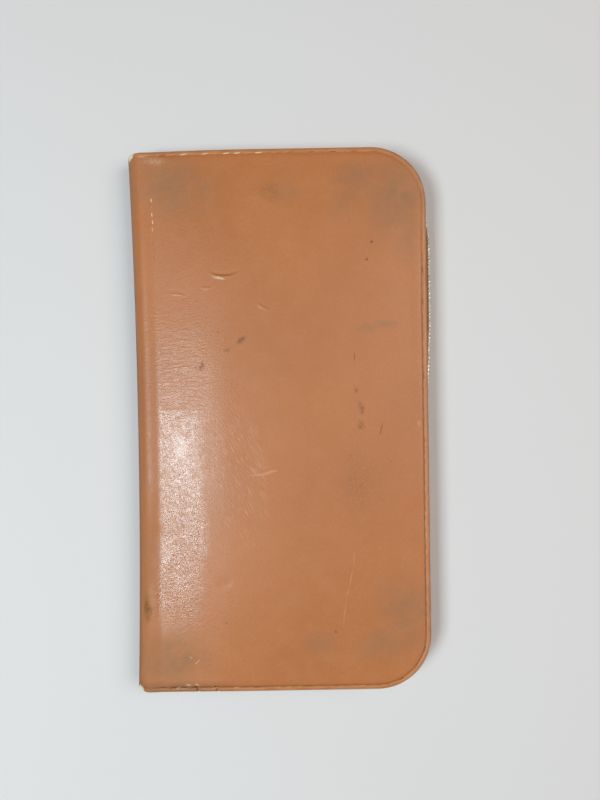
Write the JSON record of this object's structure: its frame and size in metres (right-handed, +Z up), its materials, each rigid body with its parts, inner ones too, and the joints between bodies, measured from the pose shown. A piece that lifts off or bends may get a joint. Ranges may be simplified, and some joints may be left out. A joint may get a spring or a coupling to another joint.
{
  "type": "toiletry case",
  "caption": "Flat soft leather case that opens like a book round a rounded spine and zips shut along its other three sides.",
  "frame": {"origin": "middle of the case's underside, on the surface it lies on", "axes": "+X from the spine to the open edge, +Y along the spine, +Z up through the front panel"},
  "size_m": [0.1498, 0.266, 0.0201],
  "materials": {
    "leather": "worn satin tan leather with a fine grain",
    "zip_tape": "woven brown cotton tape",
    "zip_teeth": "dulled bare metal",
    "zip_slider": "dulled bare metal"
  },
  "bodies": {
    "root": {"cover": "leather", "zip_tape_front": "zip_tape", "zip_tape_back": "zip_tape", "zip_teeth": "zip_teeth", "zip_slider": "zip_slider"}
  },
  "joints": []
}
